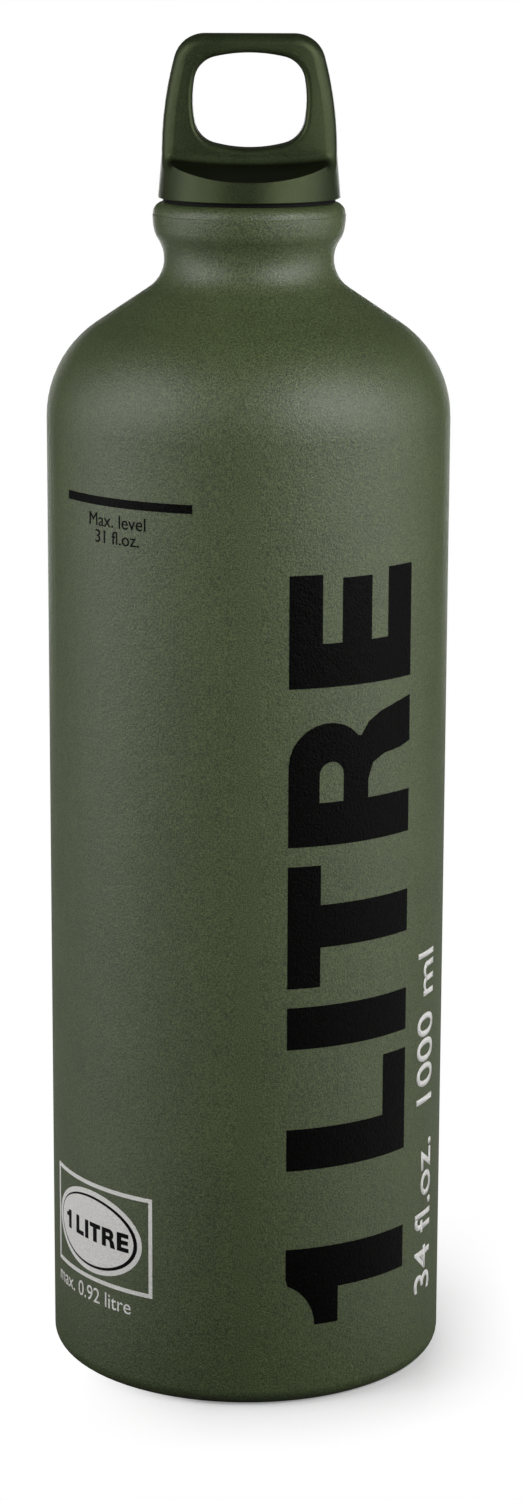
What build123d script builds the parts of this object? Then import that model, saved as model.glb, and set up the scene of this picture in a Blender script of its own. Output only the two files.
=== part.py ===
from build123d import *
from math import acos, asin, ceil, cos, degrees, floor, pi, radians, sin, tan
import os

# Camping fuel bottle of about one litre, with a press-and-turn loop stopper.
# Millimetres, +Z up along the bottle's axis, origin at the middle of the foot, loop facing -Y.

# Bottle body
body_radius = 40.0
body_height = 193.6  # where the shoulder begins
body_wall = 0.9
base_corner_radius = 3.3
foot_width = 3.0
base_recess = 4.5
floor_wall = 2.0
floor_corner_radius = 4.0

# Shoulder, neck and collar
shoulder_curve = 22.0
shoulder_rise_angle = 33.7  # of the cone between shoulder and neck, above the horizontal
neck_curve = 6.9
neck_wall = 2.5  # at the waist, outside the thread's grooves
collar_flare = 2.25  # how far the collar stands out past the waist
collar_corner_curve = 4.6  # at the collar's lower edge
collar_curve = 13.4
collar_lean = 12  # angle that the collar's face turns through, from its crease down
crease_land = 0.25
crease_depth = 0.1
rim_height = 2.4  # from the crease to the mouth
rim_rounding = 2.2

# Neck thread, right-handed, cut inside the mouth
thread_radius = 14.2  # at the bottom of the groove
thread_depth = 0.9
thread_pitch = 3.0
groove_mouth_width = 1.9
groove_root_width = 1.1
mouth_chamfer = 0.6
relief_height = 2.4
relief_depth = 0.2
relief_below_mouth = 13.7  # top of the relief under the thread

# Screw plug
thread_clearance = 0.25
plain_mouth_height = 2.2  # of the neck above the plug's thread, at the least
shank_nose = 2.3  # plain shank below the thread
shank_chamfer = 0.8
shank_wall = 3.85
well_floor = 2.0
vent_slot_width = 3.0
vent_slots = 2
flange_thickness = 1.9
flange_inset = 1.05  # inside the gasket's edge
flange_rim_thickness = 0.55
flange_rim_overhang = 0.5

# Ratchet between plug and loop cap
teeth = 12
tooth_height = 0.85
tooth_crest = 1.0
tooth_side_gap = 0.28
tooth_inset = 1.8  # outside the spring's well
tooth_reach = 3.2
bottoming_gap = 0.05

# Sealing gasket
gasket_thickness = 0.8
gasket_inset = 2.05  # inside the collar
gasket_bore_gap = 0.1
gasket_edge = 0.12
press_stop_gap = 0.15  # between skirt and mouth with the cap pressed

# Return spring
spring_wire = 1.2
spring_side_gap = 0.4
spring_turns = 5
spring_end_gap = 0.05

# Loop cap
cap_height = 31.5  # from the skirt's lower edge to the top of the loop
skirt_edge = 0.15
skirt_draft = 0.72  # how much narrower the skirt is at its top
skirt_height = 8.5  # up to where the loop's sides stand upright
skirt_fit_gap = 0.25
lip_gap = 0.15
lip_wall = 0.8
lip_top_gap = 0.2  # above the gasket with the cap pressed
bead_height = 0.4
bead_under_rim = 0.1
ceiling_chamfer = 0.8
ceiling_chamfer_width = 1.2
spring_pocket_depth = 1.55
loop_side_curve = 70.0
loop_corner_radius = 6.0
loop_foot_half_thickness = 4.4
loop_top_half_thickness = 3.7
scoop_edge_rise = 0.45  # of the scoop's lip, above the hollow's ceiling
scoop_rise_angle = 11.5
scoop_dish_curve = 130.0  # across the scoop, so that its ends stand higher than its middle
scoop_blend_reach = 1.7  # out along the scoop, from the loop's foot
scoop_blend_rise = 1.45  # up the loop
loop_edge_rounding = 2.2
hole_sill = 3.0  # above the middle of the loop's foot
loop_side_bar = 6.07  # between hole and side, at the foot
loop_top_bar = 3.6
hole_corner_radius = 5.2
hole_side_bulge = 1.2
hole_top_bulge = 1.67
hole_floor_bulge = 1.88
hole_edge_rounding = 1.15
overrun = 2.0  # how far a cut reaches past what it cuts

# Heights and angles that follow from the sizes above
shoulder_turn = 90 - shoulder_rise_angle
shoulder_sin, shoulder_cos = sin(radians(shoulder_turn)), cos(radians(shoulder_turn))
waist_radius = thread_radius + neck_wall
collar_radius = waist_radius + collar_flare
cone_reach = body_radius - waist_radius - (shoulder_curve + neck_curve) * (1 - shoulder_cos)
cone_length = cone_reach / shoulder_sin
lean_sin, lean_cos = sin(radians(collar_lean)), cos(radians(collar_lean))
face_depth = collar_curve * (1 - lean_cos)
flare_reach = neck_curve + collar_corner_curve * lean_cos - (collar_flare - face_depth)
flare_turn = degrees(acos(flare_reach / (neck_curve + collar_corner_curve)))
flare_rise = (neck_curve + collar_corner_curve) * sin(radians(flare_turn)) - collar_corner_curve * lean_sin
waist_z = body_height + (shoulder_curve + neck_curve) * shoulder_sin + cone_length * shoulder_cos
collar_z = waist_z + flare_rise + collar_curve * lean_sin
mouth_z = collar_z + crease_land + rim_height
bore_radius = thread_radius - thread_depth
relief_top_z = mouth_z - relief_below_mouth
relief_bottom_z = relief_top_z - relief_height
groove_start_z = relief_bottom_z + relief_height / 2

core_radius = bore_radius - thread_clearance
ridge_radius = thread_radius - thread_clearance
ridge_start_z = groove_start_z + thread_pitch
ridge_turns = floor((mouth_z - plain_mouth_height - ridge_start_z) / thread_pitch)
flange_bottom_z = mouth_z + gasket_thickness
flange_top_z = flange_bottom_z + flange_thickness
shank_bottom_z = ridge_start_z - shank_nose
well_floor_z = shank_bottom_z + well_floor
well_radius = core_radius - shank_wall
gasket_radius = collar_radius - gasket_inset
flange_radius = gasket_radius - flange_inset
tooth_inner_radius = well_radius + tooth_inset
tooth_base = pi * tooth_inner_radius / teeth - tooth_side_gap
press_travel = gasket_thickness - press_stop_gap

skirt_z = mouth_z + gasket_thickness
loop_z = skirt_z + skirt_height
top_z = skirt_z + cap_height
dog_tip_z = flange_top_z + press_travel + bottoming_gap
ceiling_z = dog_tip_z + tooth_height
pocket_z = ceiling_z + spring_pocket_depth
bead_top_z = flange_top_z - flange_rim_thickness - bead_under_rim
skirt_inner_radius = flange_radius + skirt_fit_gap
lip_radius = gasket_radius + lip_gap
lip_top_z = skirt_z + press_travel + lip_top_gap
skirt_radius = lip_radius + lip_wall
skirt_top_radius = skirt_radius - skirt_draft
bead_radius = flange_radius - flange_rim_overhang + skirt_fit_gap


def thread_turn(start_z, root_radius, crest_radius, root_width, crest_width):
    """One right-handed turn of a thread's ridge, from start_z on the +X side to a pitch above it."""
    path = Helix(thread_pitch, thread_pitch, root_radius, center=(0, 0, start_z))
    reach = crest_radius - root_radius
    with BuildPart() as turn:
        with BuildSketch(Plane(path @ 0, x_dir=(1, 0, 0), z_dir=path % 0)):
            with BuildLine():
                Polyline(
                    (0, -root_width / 2),
                    (reach, -crest_width / 2),
                    (reach, crest_width / 2),
                    (0, root_width / 2),
                    close=True,
                )
            make_face()
        sweep(path=path, is_frenet=True)
    return turn.part


def radial_planes(distance, count, turn=0):
    """Upright planes facing out from the axis, evenly spaced round it, with local y as height."""
    outward = [Vector(1, 0, 0).rotate(Axis.Z, turn + 360 / count * n) for n in range(count)]
    return [Plane(out * distance, x_dir=out.rotate(Axis.Z, 90), z_dir=out) for out in outward]


# Bottle: one drawn aluminium shell with a threaded neck
groove_turns = ceil((mouth_z + groove_mouth_width - groove_start_z) / thread_pitch)
groove_turn = thread_turn(
    groove_start_z, core_radius, thread_radius, groove_mouth_width, groove_root_width
)
with BuildPart() as bottle_shell:
    with BuildSketch(Plane.XZ):
        foot_outer_radius = body_radius - base_corner_radius
        foot_inner_radius = foot_outer_radius - foot_width
        crease_z = collar_z + crease_land
        rim_radius = collar_radius - crease_depth
        inner_radius = body_radius - body_wall
        inner_curve = shoulder_curve - body_wall
        relief_radius = thread_radius + relief_depth
        with BuildLine():
            recess = TangentArc((0, base_recess), (foot_inner_radius, 0), tangent=(1, 0))
            foot = Line(recess @ 1, (foot_outer_radius, 0))
            corner = JernArc(foot @ 1, foot % 1, base_corner_radius, 90)
            side = Line(corner @ 1, (body_radius, body_height))
            shoulder = JernArc(side @ 1, side % 1, shoulder_curve, shoulder_turn)
            cone = PolarLine(shoulder @ 1, cone_length, direction=shoulder % 1)
            neck = JernArc(cone @ 1, cone % 1, neck_curve, -shoulder_turn - flare_turn)
            collar_corner = JernArc(neck @ 1, neck % 1, collar_corner_curve, flare_turn - collar_lean)
            collar = JernArc(collar_corner @ 1, collar_corner % 1, collar_curve, collar_lean)
            crease = Polyline(
                collar @ 1,
                (collar_radius, crease_z),
                (rim_radius, crease_z + crease_depth),
                (rim_radius, mouth_z - rim_rounding),
            )
            rim = JernArc(crease @ 1, (0, 1), rim_rounding, 90)
            inner_shoulder = JernArc((inner_radius, body_height), (0, 1), inner_curve, shoulder_turn)
            Polyline(
                rim @ 1,
                (bore_radius + mouth_chamfer, mouth_z),
                (bore_radius, mouth_z - mouth_chamfer),
                (bore_radius, relief_top_z),
                (relief_radius, relief_top_z),
                (relief_radius, relief_bottom_z),
                inner_shoulder @ 1,
            )
            inner_side = Line(
                inner_shoulder @ 0, (inner_radius, floor_wall + floor_corner_radius)
            )
            floor_corner = JernArc(inner_side @ 1, (0, -1), floor_corner_radius, -90)
            floor_flat = Line(floor_corner @ 1, (foot_inner_radius, floor_wall))
            TangentArc((0, base_recess + floor_wall), floor_flat @ 1, tangent=(1, 0))
            Line((0, base_recess + floor_wall), (0, base_recess))
        make_face()
    revolve(axis=Axis.Z)
    for n in range(groove_turns):
        with Locations((0, 0, thread_pitch * n)):
            add(groove_turn, mode=Mode.SUBTRACT)
bottle_shell.part.label = "bottle_shell"

# Screw plug: threaded shank, flange with the ratchet crown, and a well for the spring
ridge_root_width = groove_mouth_width - 2 * thread_clearance
ridge_crest_width = groove_root_width - 2 * thread_clearance
ridge_turn = thread_turn(
    ridge_start_z, core_radius - thread_clearance, ridge_radius, ridge_root_width, ridge_crest_width
)
rim_underside_z = flange_top_z - flange_rim_thickness
flange_relief_radius = flange_radius - flange_rim_overhang
shank_length = flange_bottom_z - shank_bottom_z
tooth_flank = tooth_base - tooth_crest
with BuildPart() as screw_plug:
    with BuildSketch(Plane.XZ):
        with BuildLine():
            Polyline(
                (0, shank_bottom_z),
                (core_radius - shank_chamfer, shank_bottom_z),
                (core_radius, shank_bottom_z + shank_chamfer),
                (core_radius, flange_bottom_z),
                (flange_relief_radius, flange_bottom_z),
                (flange_relief_radius, rim_underside_z),
                (flange_radius, rim_underside_z),
                (flange_radius, flange_top_z),
                (well_radius, flange_top_z),
                (well_radius, well_floor_z),
                (0, well_floor_z),
                close=True,
            )
        make_face()
    revolve(axis=Axis.Z)
    for n in range(ridge_turns):
        with Locations((0, 0, thread_pitch * n)):
            add(ridge_turn)
    # vent slots let pressure out through the thread before it lets go
    with BuildSketch(Plane.XY.offset(shank_bottom_z)):
        with PolarLocations(ridge_radius, vent_slots, start_angle=90):
            Rectangle(2 * (ridge_radius - core_radius), vent_slot_width)
    extrude(amount=shank_length, mode=Mode.SUBTRACT)
    # ratchet teeth, upright on the side that the cap pushes when it screws in
    with BuildSketch(*radial_planes(tooth_inner_radius, teeth)):
        with BuildLine():
            Polyline(
                (-tooth_base / 2, flange_top_z),
                (tooth_base / 2, flange_top_z),
                (tooth_base / 2, flange_top_z + tooth_height),
                (tooth_base / 2 - tooth_crest, flange_top_z + tooth_height),
                close=True,
            )
        make_face()
    extrude(amount=tooth_reach)
screw_plug.part.label = "screw_plug"

# Gasket: flat rubber ring squeezed between flange and mouth
with BuildPart() as sealing_gasket:
    with BuildSketch(Plane.XY.offset(mouth_z)):
        Circle(gasket_radius)
        Circle(core_radius + gasket_bore_gap, mode=Mode.SUBTRACT)
    extrude(amount=gasket_thickness)
    chamfer(sealing_gasket.edges().filter_by(GeomType.CIRCLE), gasket_edge)
sealing_gasket.part.label = "sealing_gasket"

# Return spring: holds the loop cap up off the plug's drive teeth
spring_radius = well_radius - spring_side_gap - spring_wire / 2
spring_start_z = well_floor_z + spring_wire / 2 + spring_end_gap
spring_end_z = pocket_z - spring_wire / 2 - spring_end_gap
spring_rise = spring_end_z - spring_start_z
spring_path = Helix(spring_rise / spring_turns, spring_rise, spring_radius, center=(0, 0, spring_start_z))
with BuildPart() as return_spring:
    with BuildSketch(Plane(spring_path @ 0, z_dir=spring_path % 0)):
        Circle(spring_wire / 2)
    sweep(path=spring_path, is_frenet=True)
return_spring.part.label = "return_spring"

# Loop cap: a turned form cut to a flat loop above its skirt, hollow below for the plug
scoop_slope = tan(radians(scoop_rise_angle))
scoop_edge_z = ceiling_z + scoop_edge_rise
skirt_taper = skirt_draft / (skirt_height - skirt_edge)
scoop_lip_radius = skirt_radius - skirt_taper * (scoop_edge_z - skirt_z - skirt_edge)
loop_foot_z = scoop_edge_z + scoop_slope * (scoop_lip_radius - loop_foot_half_thickness)
scoop_outer_z = scoop_edge_z - scoop_slope * overrun
loop_lean = (loop_foot_half_thickness - loop_top_half_thickness) / (top_z - loop_foot_z)
side_turn = degrees(asin((top_z - loop_z) / loop_side_curve))
blend_on_floor = (loop_foot_half_thickness + scoop_blend_reach, loop_foot_z - scoop_slope * scoop_blend_reach)
blend_on_loop = (loop_foot_half_thickness - loop_lean * scoop_blend_rise, loop_foot_z + scoop_blend_rise)
dish_turn = degrees(asin((skirt_radius + overrun) / (scoop_edge_z + scoop_dish_curve - top_z)))
hole_floor_z = loop_foot_z + hole_sill
hole_top_z = top_z - loop_top_bar
hole_half_width = skirt_top_radius - loop_side_bar
hole_corner_width = hole_half_width - hole_side_bulge
with BuildPart() as loop_cap:
    with BuildSketch(Plane.XZ):
        with BuildLine():
            skirt = Polyline(
                (0, skirt_z),
                (skirt_radius - skirt_edge, skirt_z),
                (skirt_radius, skirt_z + skirt_edge),
                (skirt_top_radius, loop_z),
            )
            loop_side = JernArc(skirt @ 1, (0, 1), loop_side_curve, side_turn)
            Polyline(loop_side @ 1, (0, top_z), (0, skirt_z))
        make_face()
        fillet(vertices().group_by(Axis.Y)[-1].sort_by(Axis.X)[-1], loop_corner_radius)
    revolve(axis=Axis.Z)
    # flats and scoops, front and back, dished across
    with BuildPart(mode=Mode.PRIVATE) as dished_form:
        with BuildSketch(Plane.YZ):
            with BuildLine():
                scoop_floor = Polyline(
                    (0, skirt_z - overrun),
                    (scoop_lip_radius + overrun, skirt_z - overrun),
                    (scoop_lip_radius + overrun, scoop_outer_z),
                    blend_on_floor,
                )
                loop_face = Polyline(
                    blend_on_loop,
                    (loop_top_half_thickness, top_z),
                    (loop_top_half_thickness, top_z + overrun),
                    (0, top_z + overrun),
                )
                TangentArc(loop_face @ 0, scoop_floor @ 1, tangent=(loop_lean, -1))
                mirror(about=Plane.YZ)
            make_face()
        dish_axis = Axis((0, 0, scoop_edge_z + scoop_dish_curve), (0, 1, 0))
        revolve(axis=dish_axis, revolution_arc=dish_turn)
        mirror(about=Plane.YZ)
    add(dished_form.part, mode=Mode.INTERSECT)
    above_scoop = loop_foot_z + scoop_blend_rise
    loop_edges = edges().filter_by(
        lambda e: e.center().Z > above_scoop and abs(e.center().Y) > loop_top_half_thickness / 2
    )
    fillet(loop_edges, loop_edge_rounding)
    # finger hole, its four sides bowed a little outwards
    with BuildSketch(Plane.XZ):
        with BuildLine():
            corners = [
                (-hole_corner_width, hole_floor_z + hole_floor_bulge),
                (hole_corner_width, hole_floor_z + hole_floor_bulge),
                (hole_corner_width, hole_top_z - hole_top_bulge),
                (-hole_corner_width, hole_top_z - hole_top_bulge),
            ]
            bulges = (hole_floor_bulge, hole_side_bulge, hole_top_bulge, hole_side_bulge)
            for n, bulge in enumerate(bulges):
                SagittaArc(corners[n], corners[(n + 1) % len(corners)], -bulge)
        make_face()
        fillet(vertices(), hole_corner_radius)
    extrude(amount=loop_foot_half_thickness + overrun, both=True, mode=Mode.SUBTRACT)
    hole_edges = edges().filter_by(
        lambda e: abs(e.center().X) <= hole_half_width
        and hole_floor_z <= e.center().Z <= hole_top_z
        and abs(e.center().Y) > loop_top_half_thickness / 2
    )
    fillet(hole_edges, hole_edge_rounding)
    # hollow for the plug's flange, the snap bead under it and the spring
    with BuildSketch(Plane.XZ):
        with BuildLine():
            Polyline(
                (0, skirt_z - overrun),
                (lip_radius, skirt_z - overrun),
                (lip_radius, lip_top_z),
                (skirt_inner_radius, lip_top_z),
                (bead_radius, bead_top_z - bead_height / 2),
                (bead_radius, bead_top_z),
                (skirt_inner_radius, bead_top_z),
                (skirt_inner_radius, ceiling_z - ceiling_chamfer),
                (skirt_inner_radius - ceiling_chamfer_width, ceiling_z),
                (well_radius, ceiling_z),
                (well_radius, pocket_z),
                (0, pocket_z),
                close=True,
            )
        make_face()
    revolve(axis=Axis.Z, mode=Mode.SUBTRACT)
    # drive dogs that hang between the plug's ratchet teeth
    with BuildSketch(*radial_planes(tooth_inner_radius, teeth, 180 / teeth)):
        with BuildLine():
            Polyline(
                (-tooth_base / 2, ceiling_z),
                (tooth_base / 2, ceiling_z),
                (tooth_crest - tooth_base / 2, dog_tip_z),
                (-tooth_base / 2, dog_tip_z),
                close=True,
            )
        make_face()
    extrude(amount=tooth_reach)
loop_cap.part.label = "loop_cap"

os.makedirs("parts", exist_ok=True)
for piece in (bottle_shell, screw_plug, sealing_gasket, return_spring, loop_cap):
    export_step(piece.part, f"parts/{piece.part.label}.step")
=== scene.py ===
from math import cos, pi, radians, sin

import bmesh
import bpy
from mathutils import Matrix, Vector


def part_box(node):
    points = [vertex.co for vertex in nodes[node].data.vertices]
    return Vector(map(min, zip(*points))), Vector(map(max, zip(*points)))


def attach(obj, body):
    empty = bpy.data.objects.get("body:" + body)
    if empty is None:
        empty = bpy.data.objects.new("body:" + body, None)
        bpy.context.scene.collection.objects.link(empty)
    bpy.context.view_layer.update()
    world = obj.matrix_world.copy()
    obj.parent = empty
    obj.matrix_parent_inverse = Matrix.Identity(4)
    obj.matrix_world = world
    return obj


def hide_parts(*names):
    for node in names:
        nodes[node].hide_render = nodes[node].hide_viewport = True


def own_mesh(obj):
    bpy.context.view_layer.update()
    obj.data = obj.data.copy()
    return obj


# A camping fuel bottle with a press-and-turn loop stopper, on a white studio floor.
# Metres, +Z up, the bottle's axis at the origin, its loop facing -Y towards the camera.

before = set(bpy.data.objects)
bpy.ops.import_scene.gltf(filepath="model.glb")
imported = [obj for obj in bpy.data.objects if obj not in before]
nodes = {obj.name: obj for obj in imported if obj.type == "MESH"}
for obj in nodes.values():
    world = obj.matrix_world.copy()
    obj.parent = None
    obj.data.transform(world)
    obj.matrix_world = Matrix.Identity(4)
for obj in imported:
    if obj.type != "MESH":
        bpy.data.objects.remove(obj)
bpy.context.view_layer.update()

MM = 0.001

# From the frame
BODY_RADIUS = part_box("bottle_shell")[1].x

# Camera, fitted to the photograph's outline: metres and radians, and pixels for the focal length
PHOTO_HEIGHT = 1500
CAMERA_DISTANCE = 0.70254
CAMERA_HEIGHT = 0.28725
CAMERA_PITCH = 0.226269
CAMERA_PAN = 0.0040217
CAMERA_ROLL = 0.0040055
FOCAL_PIXELS = 3557.86
SENSOR_HEIGHT = 36.0
NEAREST_SEEN = 0.01


def make_camera():
    data = bpy.data.cameras.new("camera")
    data.sensor_fit = "VERTICAL"
    data.sensor_height = SENSOR_HEIGHT
    data.lens = FOCAL_PIXELS / PHOTO_HEIGHT * SENSOR_HEIGHT
    data.clip_start = NEAREST_SEEN
    camera = bpy.data.objects.new("camera", data)
    bpy.context.scene.collection.objects.link(camera)
    turn = Matrix.Rotation(-CAMERA_PAN, 4, "Z") @ Matrix.Rotation(pi / 2 - CAMERA_PITCH, 4, "X")
    camera.matrix_world = (
        Matrix.Translation((0, -CAMERA_DISTANCE, CAMERA_HEIGHT)) @ turn @ Matrix.Rotation(CAMERA_ROLL, 4, "Z")
    )
    bpy.context.scene.camera = camera


class Shading:
    """Builds a node tree: add() makes a node, and a socket given as an input is linked."""

    def __init__(self, tree):
        self.tree = tree
        tree.nodes.clear()

    def add(self, kind, inputs=None, **settings):
        node = self.tree.nodes.new(kind)
        for name, value in settings.items():
            setattr(node, name, value)
        for name, value in (inputs or {}).items():
            self.fill(node.inputs[name], value)
        return node

    def fill(self, socket, value):
        if isinstance(value, bpy.types.NodeSocket):
            self.tree.links.new(value, socket)
        else:
            socket.default_value = value

    def math(self, operation, *values):
        return self.add("ShaderNodeMath", dict(enumerate(values)), operation=operation).outputs[0]

    def noise(self, place, size, detail=2.0, roughness=0.5):
        """Noise whose features are about size across, in metres."""
        inputs = {"Vector": place, "Scale": 1 / size, "Detail": detail, "Roughness": roughness}
        return self.add("ShaderNodeTexNoise", inputs).outputs["Fac"]

    def spread(self, value, low, high, to_low=0.0, to_high=1.0):
        """Maps value from low..high to to_low..to_high, clamped."""
        inputs = {"Value": value, "From Min": low, "From Max": high, "To Min": to_low, "To Max": to_high}
        return self.add("ShaderNodeMapRange", inputs).outputs["Result"]

    def mix_colour(self, share, first, second):
        node = self.add("ShaderNodeMix", data_type="RGBA")
        for index, value in ((0, share), (6, first), (7, second)):
            self.fill(node.inputs[index], value)
        return node.outputs[2]

    def background_rays(self):
        """1 for the rays that show the background (camera, glossy and transmission), and the path node."""
        path = self.add("ShaderNodeLightPath")
        seen = self.math("MAXIMUM", path.outputs["Is Camera Ray"], path.outputs["Is Glossy Ray"])
        return self.math("MAXIMUM", seen, path.outputs["Is Transmission Ray"]), path


def colour(red, green, blue):
    return (red, green, blue, 1.0)


def grey(value):
    return colour(value, value, value)


WHITE = grey(1)
BLACK = grey(0)

# Studio: a white floor and backdrop in a dim room, with soft walls of light and lamps all round
ROOM_LIGHT = 0.02  # strength of the room as it lights dull surfaces
ROOM_REFLECTION = 0.06  # strength of the room in reflections
FLOOR_SIZE = 6.0
# The floor as the lamps and the reflections find it, which the camera doesn't see
FLOOR_COLOUR = grey(0.1)
FLOOR_SIDE_COLOUR = grey(0.55)
FLOOR_SIDES = (0.03, 0.08)  # from where to where, on either side of the axis, the floor grows paler
# The floor as the camera sees it round the foot: lit by the lamps, with a glow that takes it up to white
FLOOR_LIT_COLOUR = grey(0.85)
FLOOR_GLOW = 0.36
CONTACT_REACH = 0.035  # how far round the foot the painted contact shadow darkens the floor
CONTACT_DARK = 0.9
CONTACT_FALL = 1.5  # a higher power draws the painted contact shadow in towards the foot
CONTACT_MOST = 0.3
# From where to where the floor's shadow fades in or out, along X (right, left) and along Y (back, front)
SHADOW_RIGHT = (0.036, 0.057)
SHADOW_LEFT = (-0.033, -0.008)
SHADOW_BACK = (0.02, 0.075)
SHADOW_FRONT = (-0.08, -0.055)


def make_world():
    world = bpy.data.worlds.new("studio")
    bpy.context.scene.world = world
    world.use_nodes = True
    s = Shading(world.node_tree)
    rays, path = s.background_rays()
    white = s.add("ShaderNodeBackground", {"Color": WHITE, "Strength": 1.0})
    seen = s.add("ShaderNodeBackground", {"Color": WHITE, "Strength": ROOM_REFLECTION})
    dim = s.add("ShaderNodeBackground", {"Color": WHITE, "Strength": ROOM_LIGHT})
    for_light = s.add("ShaderNodeMixShader", {0: rays, 1: dim.outputs[0], 2: seen.outputs[0]})
    by_camera = path.outputs["Is Camera Ray"]
    mixed = s.add("ShaderNodeMixShader", {0: by_camera, 1: for_light.outputs[0], 2: white.outputs[0]})
    s.add("ShaderNodeOutputWorld", {"Surface": mixed.outputs[0]})


def make_floor():
    mesh = bpy.data.meshes.new("floor")
    half = FLOOR_SIZE / 2
    corners = [(-half, -half, 0), (half, -half, 0), (half, half, 0), (-half, half, 0)]
    mesh.from_pydata(corners, [], [(0, 1, 2, 3)])
    floor = bpy.data.objects.new("floor", mesh)
    bpy.context.scene.collection.objects.link(floor)
    material = bpy.data.materials.new("studio_floor")
    material.use_nodes = True
    s = Shading(material.node_tree)
    path = s.add("ShaderNodeLightPath")
    place = s.add("ShaderNodeTexCoord").outputs["Object"]
    spot = s.add("ShaderNodeSeparateXYZ", {"Vector": place})
    right = s.spread(spot.outputs["X"], *SHADOW_RIGHT, 1.0, 0.0)
    left = s.spread(spot.outputs["X"], *SHADOW_LEFT)
    back = s.spread(spot.outputs["Y"], *SHADOW_BACK, 1.0, 0.0)
    front = s.spread(spot.outputs["Y"], *SHADOW_FRONT)
    shadow = s.math("MULTIPLY", s.math("MULTIPLY", right, left), s.math("MULTIPLY", back, front))
    aside = s.spread(s.math("ABSOLUTE", spot.outputs["X"]), *FLOOR_SIDES)
    plain = s.add("ShaderNodeBsdfDiffuse", {"Color": s.mix_colour(aside, FLOOR_COLOUR, FLOOR_SIDE_COLOUR)})
    # Painted contact shadow: ambient occlusion darkens the floor's colour and its glow round the foot
    occlusion = s.add("ShaderNodeAmbientOcclusion", {"Distance": CONTACT_REACH}, samples=8).outputs["AO"]
    closed = s.math("POWER", s.math("SUBTRACT", 1.0, occlusion), CONTACT_FALL)
    darkened = s.math("MINIMUM", s.math("MULTIPLY", closed, CONTACT_DARK), CONTACT_MOST)
    openness = s.math("SUBTRACT", 1.0, darkened)
    lit_colour = s.mix_colour(openness, BLACK, FLOOR_LIT_COLOUR)
    shaded = s.add("ShaderNodeBsdfDiffuse", {"Color": lit_colour})
    glow_strength = s.math("MULTIPLY", openness, FLOOR_GLOW)
    glow = s.add("ShaderNodeEmission", {"Color": WHITE, "Strength": glow_strength})
    white = s.add("ShaderNodeEmission", {"Color": WHITE, "Strength": 1.0})
    near = s.add("ShaderNodeAddShader", {0: shaded.outputs[0], 1: glow.outputs[0]})
    seen = s.add("ShaderNodeMixShader", {0: shadow, 1: white.outputs[0], 2: near.outputs[0]})
    by_camera = path.outputs["Is Camera Ray"]
    mixed = s.add("ShaderNodeMixShader", {0: by_camera, 1: plain.outputs[0], 2: seen.outputs[0]})
    s.add("ShaderNodeOutputMaterial", {"Surface": mixed.outputs[0]})
    mesh.materials.append(material)


def soft_box(name, azimuth, distance, height, aim_height, size, power):
    """An area light aimed at the bottle's axis; its azimuth counts from the camera's side to the right."""
    data = bpy.data.lights.new(name, "AREA")
    data.shape = "RECTANGLE"
    data.size, data.size_y = size
    data.energy = power
    lamp = bpy.data.objects.new(name, data)
    bpy.context.scene.collection.objects.link(lamp)
    turn = radians(azimuth)
    place = Vector((distance * sin(turn), -distance * cos(turn), height))
    aim = Vector((0, 0, aim_height)) - place
    lamp.matrix_world = Matrix.Translation(place) @ aim.to_track_quat("-Z", "Y").to_matrix().to_4x4()


def make_lights():
    # azimuth in degrees, distance from the axis, height, height aimed at, (width, length), watts
    soft_box("left_wall", -85, 0.8, 0.15, 0.12, (0.5, 0.7), 2.5)
    soft_box("right_wall", 85, 0.8, 0.15, 0.12, (0.5, 0.7), 2.5)
    soft_box("left_strip", -48, 0.48, 0.36, 0.2, (0.15, 0.3), 0.55)
    soft_box("left_side_strip", -80, 0.45, 0.33, 0.15, (0.12, 0.3), 0.16)
    soft_box("left_high", -65, 0.5, 0.5, 0.22, (0.1, 0.15), 0.7)
    soft_box("left_low", -80, 0.5, 0.1, 0.05, (0.12, 0.15), 0.06)
    soft_box("left_front", -25, 0.5, 0.45, 0.2, (0.1, 0.2), 0.08)
    soft_box("right_strip", 36, 0.47, 0.38, 0.2, (0.15, 0.28), 0.97)
    soft_box("right_side_strip", 61, 0.47, 0.36, 0.2, (0.15, 0.3), 0.77)
    soft_box("right_high", 50, 0.5, 0.5, 0.22, (0.1, 0.15), 0.5)
    soft_box("back_wall", 180, 0.7, 0.1, 0.1, (0.6, 0.3), 2.5)


# Finishes: sizes of the features in the materials' noise, and how far their bumps stand out
GRAIN = 0.45 * MM  # of the powder coat's orange peel
SPECKLE = 0.27 * MM  # of the coat's light and dark specks
MOTTLE = 14 * MM
MOULD_GRAIN = 0.25 * MM
MOULD_FLOW = 9 * MM
WIRE_MARKS = 0.15 * MM
COAT_BUMP = 0.12 * MM
INK_BUMP = 0.2 * MM
MOULD_BUMP = 0.02 * MM
BASE_TOP = 5 * MM  # the inside of the shell lies above this
METAL_ROUGHNESS = 0.38

# The loop cap's scoops, darkened with painted shade, and its loop
SCOOP_HEIGHTS = (240.6 * MM, 244.0 * MM)
SCOOP_RIM = 0.6 * MM  # the scoops' painted shade sets in over this height
LOOP_FOOT = 2.5 * MM  # and ends over this height, where the loop begins
SCOOP_SLOPES = (0.55, 0.85)  # upward share of the normal where the painted shade sets in and is full
SCOOP_DARK = 0.75  # share of the colour and specular that the painted shade takes from the scoops
LOOP_FLATNESS = (0.7, 0.95)  # share of the normal along Y where the camber sets in and is full
LOOP_CAMBER = 1200.0  # lean of the loop's normals, times the square of the metres from its middle
CAP_SHEEN = colour(0.84, 1.0, 0.52)


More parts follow.
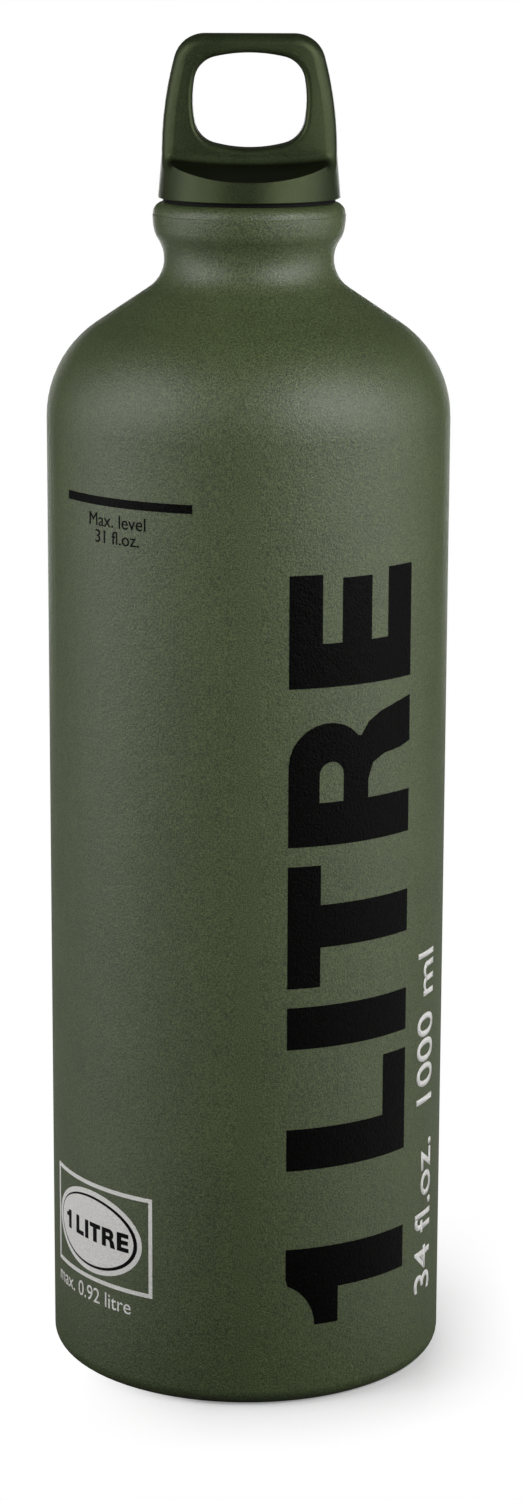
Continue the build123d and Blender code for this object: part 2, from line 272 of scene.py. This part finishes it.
def finish_material(name, base, roughness, specular=0.5, metallic=0.0):
    """A principled material; returns it with its Shading and its shader node."""
    material = bpy.data.materials.new(name)
    material.use_nodes = True
    s = Shading(material.node_tree)
    shader = s.add(
        "ShaderNodeBsdfPrincipled",
        {"Base Color": base, "Roughness": roughness, "Specular IOR Level": specular, "Metallic": metallic},
    )
    s.add("ShaderNodeOutputMaterial", {"Surface": shader.outputs[0]})
    return material, s, shader


def link(s, value, node, name):
    s.tree.links.new(value, node.inputs[name])


def coat_grain(s, place):
    """Height of the powder coat's orange peel, which also shows through the ink, and its fine part."""
    fine = s.noise(place, GRAIN, detail=3.0, roughness=0.6)
    broad = s.noise(place, 4 * GRAIN, detail=1.0)
    return s.math("ADD", fine, s.math("MULTIPLY", broad, 0.5)), fine


def powder_coat():
    """The green coat outside, and the bare drawn aluminium inside, where the surface faces the axis."""
    dark, light = colour(0.020, 0.031, 0.008), colour(0.078, 0.106, 0.037)
    material, s, shader = finish_material("powder_coat", light, 0.5, specular=0.7)
    place = s.add("ShaderNodeTexCoord").outputs["Object"]
    height, fine = coat_grain(s, place)
    mottle = s.noise(place, MOTTLE, detail=2.0)
    speckle = s.noise(place, SPECKLE, detail=1.0)
    specks = s.spread(speckle, 0.39, 0.61, 0.0, 0.9)
    clouds = s.spread(mottle, 0.35, 0.65, 0.0, 0.1)
    coat_colour = s.mix_colour(s.math("ADD", specks, clouds), dark, light)

    geometry = s.add("ShaderNodeNewGeometry")
    spot = s.add("ShaderNodeSeparateXYZ", {"Vector": place})
    normal = s.add("ShaderNodeSeparateXYZ", {"Vector": geometry.outputs["True Normal"]})
    outward = s.math(
        "ADD",
        s.math("MULTIPLY", spot.outputs["X"], normal.outputs["X"]),
        s.math("MULTIPLY", spot.outputs["Y"], normal.outputs["Y"]),
    )
    faces_axis = s.math("LESS_THAN", outward, 0.0)
    above_base = s.math("GREATER_THAN", spot.outputs["Z"], BASE_TOP)
    inside = s.math("MULTIPLY", faces_axis, above_base)

    bare_colour = s.mix_colour(fine, colour(0.66, 0.66, 0.67), colour(0.8, 0.8, 0.81))
    link(s, s.mix_colour(inside, coat_colour, bare_colour), shader, "Base Color")
    link(s, inside, shader, "Metallic")
    coat_roughness = s.spread(fine, 0.3, 0.7, 0.46, 0.54)
    roughness = s.add("ShaderNodeMix", {0: inside, 2: coat_roughness, 3: METAL_ROUGHNESS}, data_type="FLOAT")
    link(s, roughness.outputs[0], shader, "Roughness")
    bump = s.add("ShaderNodeBump", {"Strength": 1.0, "Distance": COAT_BUMP, "Height": height})
    link(s, bump.outputs["Normal"], shader, "Normal")
    return material


def painted_scoop_shade(s, place):
    """Mask of the painted shade: 1 in the loop cap's scoops, which look up between the rim and the loop's
    foot, else 0.
    """
    spot = s.add("ShaderNodeSeparateXYZ", {"Vector": place})
    normal = s.add("ShaderNodeSeparateXYZ", {"Vector": s.add("ShaderNodeNewGeometry").outputs["Normal"]})
    low, high = SCOOP_HEIGHTS
    above = s.spread(spot.outputs["Z"], low - SCOOP_RIM, low)
    below = s.spread(spot.outputs["Z"], high, high + LOOP_FOOT, 1.0, 0.0)
    upward = s.spread(normal.outputs["Z"], *SCOOP_SLOPES)
    return s.math("MULTIPLY", s.math("MULTIPLY", above, below), upward)


def cambered_normal(s, place):
    """A normal that leans outwards along X on the loop's faces, as if they swelled from side to side."""
    spot = s.add("ShaderNodeSeparateXYZ", {"Vector": place})
    own_normal = s.add("ShaderNodeTexCoord").outputs["Normal"]
    across = s.math("ABSOLUTE", s.add("ShaderNodeSeparateXYZ", {"Vector": own_normal}).outputs["Y"])
    flat = s.spread(across, *LOOP_FLATNESS)
    loop_begins = SCOOP_HEIGHTS[1]
    on_loop = s.spread(spot.outputs["Z"], loop_begins, loop_begins + LOOP_FOOT)
    amount = s.math("MULTIPLY", s.math("MULTIPLY", flat, on_loop), LOOP_CAMBER)
    signed_square = s.math("MULTIPLY", spot.outputs["X"], s.math("ABSOLUTE", spot.outputs["X"]))
    lean = s.add("ShaderNodeCombineXYZ", {"X": s.math("MULTIPLY", signed_square, amount)})
    to_world = {"vector_type": "VECTOR", "convert_from": "OBJECT", "convert_to": "WORLD"}
    turned = s.add("ShaderNodeVectorTransform", {"Vector": lean.outputs[0]}, **to_world)
    normal = s.add("ShaderNodeNewGeometry").outputs["Normal"]
    leaned = s.add("ShaderNodeVectorMath", {0: normal, 1: turned.outputs[0]}, operation="ADD")
    return s.add("ShaderNodeVectorMath", {0: leaned.outputs[0]}, operation="NORMALIZE").outputs[0]


def moulded_plastic(name, dark, light, roughness, specular, scooped=False):
    """Satin moulding: a faint flow mottle and a fine spark-eroded grain. Scooped is for the loop cap: painted
    shade darkens its scoops and cuts their specular, and its loop's normals lean with a camber.
    """
    material, s, shader = finish_material(name, light, roughness[0], specular=specular)
    place = s.add("ShaderNodeTexCoord").outputs["Object"]
    grain = s.noise(place, MOULD_GRAIN, detail=2.0)
    flow = s.noise(place, MOULD_FLOW, detail=2.0)
    clouds = s.spread(flow, 0.35, 0.65, 0.0, 0.25)
    specks = s.spread(grain, 0.35, 0.65, 0.0, 0.75)
    tinted = s.mix_colour(s.math("ADD", clouds, specks), dark, light)
    if scooped:
        # Painted shade: the scoops' colour goes towards black and their specular drops, standing in for light
        # they don't get
        shade = painted_scoop_shade(s, place)
        tinted = s.mix_colour(s.math("MULTIPLY", shade, SCOOP_DARK), tinted, BLACK)
        shaded_specular = s.spread(shade, 0.0, 1.0, specular, (1 - SCOOP_DARK) * specular)
        link(s, shaded_specular, shader, "Specular IOR Level")
        shader.inputs["Specular Tint"].default_value = CAP_SHEEN
    link(s, tinted, shader, "Base Color")
    link(s, s.spread(grain, 0.3, 0.7, *roughness), shader, "Roughness")
    bump = s.add("ShaderNodeBump", {"Strength": 0.2, "Distance": MOULD_BUMP, "Height": grain})
    if scooped:
        link(s, cambered_normal(s, place), bump, "Normal")
    link(s, bump.outputs["Normal"], shader, "Normal")
    return material


def spring_steel():
    """Drawn wire: bright, with fine marks in its colour and its roughness."""
    material, s, shader = finish_material("spring_steel", grey(0.6), 0.3, metallic=1.0)
    place = s.add("ShaderNodeTexCoord").outputs["Object"]
    marks = s.noise(place, WIRE_MARKS, detail=3.0)
    link(s, s.mix_colour(marks, colour(0.5, 0.5, 0.51), grey(0.68)), shader, "Base Color")
    link(s, s.spread(marks, 0.3, 0.7, 0.22, 0.36), shader, "Roughness")
    return material


def ink(name, dark, light, roughness, specular):
    """Screen-printed ink over the coat, whose grain shows through it."""
    material, s, shader = finish_material(name, light, roughness[0], specular=specular)
    place = s.add("ShaderNodeTexCoord").outputs["Object"]
    height, fine = coat_grain(s, place)
    link(s, s.mix_colour(s.spread(fine, 0.3, 0.7), dark, light), shader, "Base Color")
    link(s, s.spread(fine, 0.3, 0.7, *roughness), shader, "Roughness")
    bump = s.add("ShaderNodeBump", {"Strength": 1.0, "Distance": INK_BUMP, "Height": height})
    link(s, bump.outputs["Normal"], shader, "Normal")
    return material


def make_spring(material):
    """The wire of the return spring: a copy of the solid's mesh, carried by the plug, with the solid itself
    hidden.
    """
    solid = nodes["return_spring"]
    piece = bpy.data.objects.new("spring_wire", solid.data.copy())
    piece.matrix_world = solid.matrix_world.copy()
    bpy.context.scene.collection.objects.link(piece)
    piece.data.materials.clear()
    piece.data.materials.append(material)
    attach(piece, "plug")
    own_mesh(piece)
    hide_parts("return_spring")


# Print on the body: flat shapes laid round the body, metres along it and up
INK_LIFT = 0.04 * MM
INK_SINK = 0.05 * MM  # how far the ink's edge reaches into the coat
STRIP = 1.0 * MM  # width of the strips that a shape is cut into, to follow the curve


def wrap(name, flat, angle, height, material, lift):
    """Cuts a flat mesh (x along the curve, y up) into strips and lays it round the body as a layer of ink."""
    bm = bmesh.new()
    bm.from_mesh(flat)
    low = min(v.co.x for v in bm.verts)
    high = max(v.co.x for v in bm.verts)
    for n in range(1, int((high - low) / STRIP) + 1):
        geometry = bm.verts[:] + bm.edges[:] + bm.faces[:]
        bmesh.ops.bisect_plane(bm, geom=geometry, plane_co=(low + n * STRIP, 0, 0), plane_no=(1, 0, 0))
    bmesh.ops.recalc_face_normals(bm, faces=bm.faces[:])
    if sum(f.normal.z * f.calc_area() for f in bm.faces) < 0:
        bmesh.ops.reverse_faces(bm, faces=bm.faces[:])
    made = bmesh.ops.extrude_face_region(bm, geom=bm.faces[:])
    for v in made["geom"]:
        if isinstance(v, bmesh.types.BMVert):
            v.co.z = 1.0  # marks the outer layer, until the radius is set
    for v in bm.verts:
        radius = BODY_RADIUS + (lift if v.co.z > 0.5 else -INK_SINK)
        turn = angle + v.co.x / BODY_RADIUS
        v.co = (radius * sin(turn), -radius * cos(turn), height + v.co.y)
    bmesh.ops.recalc_face_normals(bm, faces=bm.faces[:])
    mesh = bpy.data.meshes.new(name)
    bm.to_mesh(mesh)
    bm.free()
    piece = bpy.data.objects.new(name, mesh)
    bpy.context.scene.collection.objects.link(piece)
    mesh.materials.append(material)
    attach(piece, "bottle")


def lettering(text, height, upright=True, bold=0.0):
    """A flat mesh of the text, as tall as its tallest letter; not upright reads from the bottom up."""
    curve = bpy.data.curves.new(text, "FONT")
    curve.body = text
    curve.size = 1.0
    curve.offset = bold
    mesh = to_flat_mesh(curve)
    tall = max(v.co.y for v in mesh.vertices)
    low = min(v.co.x for v in mesh.vertices)
    for v in mesh.vertices:
        x, y = (v.co.x - low) * height / tall, v.co.y * height / tall
        v.co = (x, y, 0) if upright else (height - y, x, 0)
    return mesh


def rectangles(*boxes):
    """A flat mesh of rectangles, each (left, bottom, right, top)."""
    mesh = bpy.data.meshes.new("rectangles")
    points, faces = [], []
    for left, bottom, right, top in boxes:
        first = len(points)
        points += [(left, bottom, 0), (right, bottom, 0), (right, top, 0), (left, top, 0)]
        faces.append(tuple(range(first, first + 4)))
    mesh.from_pydata(points, [], faces)
    return mesh


def circle_arc(centre, radius, first, last, steps=10):
    """Points along an arc from the first angle to the last, in degrees."""
    return [
        (centre[0] + radius * cos(turn), centre[1] + radius * sin(turn))
        for turn in (radians(first + (last - first) * n / steps) for n in range(steps + 1))
    ]


def heavy_glyphs():
    """Heavy capitals in shares of their height: for each its width, then its closed outlines."""
    stem, bar = 0.3, 0.235
    leg = [(0.43, 0.4), (0.54, 0.36), (0.59, 0.26), (0.61, 0.1), (0.64, 0), (0.96, 0), (0.93, 0.14)]
    leg += [(0.89, 0.29), (0.83, 0.4), (0.74, 0.46)]
    eye = [(stem, 0.6)] + circle_arc((0.49, 0.69), 0.09, -90, 90) + [(stem, 0.78)]
    low, high = (1 - bar) / 2, (1 + bar) / 2
    return {
        "1": (0.57, [[(0.26, 0), (0.57, 0), (0.57, 1), (0.35, 1)] + circle_arc((0, 1.12), 0.33, -24, -90)
              + [(0, 0.61), (0.26, 0.61)]]),
        "L": (0.74, [[(0, 0), (0.74, 0), (0.74, bar), (stem, bar), (stem, 1), (0, 1)]]),
        "I": (stem, [[(0, 0), (stem, 0), (stem, 1), (0, 1)]]),
        "T": (0.86, [[(0.28, 0), (0.58, 0), (0.58, 1 - bar), (0.86, 1 - bar), (0.86, 1), (0, 1), (0, 1 - bar),
                      (0.28, 1 - bar)]]),
        "R": (0.96, [[(0, 0), (stem, 0), (stem, 0.4)] + leg + circle_arc((0.56, 0.71), 0.29, -50, 90)
              + [(0, 1)], eye]),
        "E": (0.78, [[(0, 0), (0.78, 0), (0.78, bar), (stem, bar), (stem, low), (0.74, low), (0.74, high),
                      (stem, high), (stem, 1 - bar), (0.77, 1 - bar), (0.77, 1), (0, 1)]]),
    }


LETTER_GAP_SHARE = 0.135
WORD_GAP_SHARE = 0.44


def heavy_word(word, height, upright=False):
    """A flat mesh of heavy capitals; not upright reads from the bottom up, its baseline to the right."""
    curve = bpy.data.curves.new(word, "CURVE")
    curve.dimensions = "2D"
    curve.fill_mode = "BOTH"
    along = 0.0
    glyphs = heavy_glyphs()
    for letter in word:
        if letter == " ":
            along += WORD_GAP_SHARE
            continue
        width, outlines = glyphs[letter]
        for outline in outlines:
            spline = curve.splines.new("POLY")
            spline.points.add(len(outline) - 1)
            for point, (x, y) in zip(spline.points, outline):
                across, up = (along + x, y) if upright else (1 - y, along + x)
                point.co = (across * height, up * height, 0, 1)
            spline.use_cyclic_u = True
        along += width + LETTER_GAP_SHARE
    return to_flat_mesh(curve)


def to_flat_mesh(curve):
    """The filled mesh of a text or of a closed curve."""
    holder = bpy.data.objects.new(curve.name, curve)
    bpy.context.scene.collection.objects.link(holder)
    bpy.context.view_layer.update()
    mesh = bpy.data.meshes.new_from_object(holder)
    bpy.data.objects.remove(holder)
    return mesh


def oval(width, tall, inset=0.0, shift=0.0, steps=64):
    """A flat mesh of an oval in a box, or of the ring between it and one that is inset and shifted left."""
    turns = [2 * pi * n / steps for n in range(steps)]
    rings = []
    for shrink, back in ((0.0, 0.0), (inset, shift)):
        half, up = width / 2 - shrink, tall / 2 - shrink
        rings.append([(width / 2 - back + half * cos(t), tall / 2 + up * sin(t), 0) for t in turns])
    mesh = bpy.data.meshes.new("oval")
    if inset:
        after = [(n + 1) % steps for n in range(steps)]
        faces = [(n, after[n], steps + after[n], steps + n) for n in range(steps)]
        mesh.from_pydata(rings[0] + rings[1], [], faces)
    else:
        mesh.from_pydata(rings[0], [], [tuple(range(steps))])
    return mesh


# Where the prints' lower left corners lie: arc along the body from the camera's side, then height.
# FILL_LINE, BADGE_FRAME and BADGE_OVAL go on with how wide and how tall they are.
FILL_LINE = (-42.1 * MM, 180.0 * MM, 31.4 * MM, 1.7 * MM)
FILL_WORDS_PLACE = (-34.7 * MM, 176.0 * MM)
FILL_AMOUNT_PLACE = (-32.9 * MM, 172.8 * MM)
FILL_WORDS_HEIGHT = 2.5 * MM
BIG_WORD_PLACE = (7.9 * MM, 16.8 * MM)
BIG_WORD_HEIGHT = 28.5 * MM
SMALL_WORD_PLACE = (41.0 * MM, 16.0 * MM)
SMALL_WORD_HEIGHT = 7.4 * MM
SMALL_WORD_BOLD = 0.01
BADGE_FRAME = (-50.6 * MM, 21.2 * MM, 31.2 * MM, 20.9 * MM)
BADGE_LINE = 0.85 * MM
BADGE_WORDS_PLACE = (-50.4 * MM, 16.7 * MM)
BADGE_WORDS_HEIGHT = 3.1 * MM
BADGE_OVAL = (-49.4 * MM, 22.9 * MM, 27.6 * MM, 17.4 * MM)
BADGE_RING_MARGIN = 1.1 * MM  # from the oval's edge to the dark ring
BADGE_RING_LINE = 0.5 * MM
BADGE_RING_SHIFT = 0.38 * MM  # makes the ring thick at its right and thin at its left
BADGE_AMOUNT_PLACE = (-45.8 * MM, 29.7 * MM)
BADGE_AMOUNT_HEIGHT = 3.9 * MM
SECOND_LIFT = 0.08 * MM  # of ink printed over ink


def make_prints(black, white):
    def place(name, flat, arc, height, material, slot, lift=INK_LIFT):
        wrap(name, flat, arc / BODY_RADIUS, height, material, lift)

    arc, height, length, thickness = FILL_LINE
    place("fill_line", rectangles((0, 0, length, thickness)), arc, height, black, "black_print")
    words = lettering("Max. level", FILL_WORDS_HEIGHT)
    place("fill_line_words", words, *FILL_WORDS_PLACE, black, "black_print")
    amount = lettering("31 fl.oz.", FILL_WORDS_HEIGHT)
    place("fill_line_amount", amount, *FILL_AMOUNT_PLACE, black, "black_print")
    place("capacity", heavy_word("1 LITRE", BIG_WORD_HEIGHT), *BIG_WORD_PLACE, black, "black_print")
    small = lettering("34 fl.oz.  1000 ml", SMALL_WORD_HEIGHT, upright=False, bold=SMALL_WORD_BOLD)
    place("capacity_small", small, *SMALL_WORD_PLACE, white, "white_print")

    arc, height, width, tall = BADGE_FRAME
    line = BADGE_LINE
    sides = rectangles(
        (0, 0, width, line),
        (0, tall - line, width, tall),
        (0, line, line, tall - line),
        (width - line, line, width, tall - line),
    )
    place("badge_frame", sides, arc, height, white, "white_print")
    under = lettering("max. 0.92 litre", BADGE_WORDS_HEIGHT)
    place("badge_words", under, *BADGE_WORDS_PLACE, white, "white_print")
    arc, height, width, tall = BADGE_OVAL
    place("badge_oval", oval(width, tall), arc, height, white, "white_print")
    margin = BADGE_RING_MARGIN
    ring = oval(width - 2 * margin, tall - 2 * margin, inset=BADGE_RING_LINE, shift=BADGE_RING_SHIFT)
    place("badge_ring", ring, arc + margin, height + margin, black, "black_print", SECOND_LIFT)
    amount = heavy_word("1 LITRE", BADGE_AMOUNT_HEIGHT, upright=True)
    place("badge_amount", amount, *BADGE_AMOUNT_PLACE, black, "black_print", SECOND_LIFT)


make_camera()
make_world()
make_floor()
make_lights()

# Each with its dark and light colour, its least and greatest roughness, and its specular level
black_ink = ink("black_ink", colour(0.0005, 0.0005, 0.0004), colour(0.002, 0.002, 0.0018), (0.32, 0.4), 0.055)
white_ink = ink("white_ink", colour(0.66, 0.65, 0.63), colour(0.8, 0.79, 0.77), (0.42, 0.52), 0.4)
cap_dark, cap_light = colour(0.005, 0.0075, 0.003), colour(0.025, 0.034, 0.0145)
finishes = {
    "bottle_shell": powder_coat(),
    "loop_cap": moulded_plastic("cap_plastic", cap_dark, cap_light, (0.42, 0.5), 0.4, scooped=True),
    "screw_plug": moulded_plastic("plug_plastic", grey(0.012), grey(0.02), (0.42, 0.52), 0.5),
    "sealing_gasket": moulded_plastic("gasket_rubber", grey(0.002), grey(0.005), (0.65, 0.8), 0.15),
    "return_spring": spring_steel(),
}
for name, material in finishes.items():
    slots = nodes[name].data.materials
    slots.clear()
    slots.append(material)

make_spring(finishes["return_spring"])
make_prints(black_ink, white_ink)

bpy.context.scene.view_settings.view_transform = "Standard"
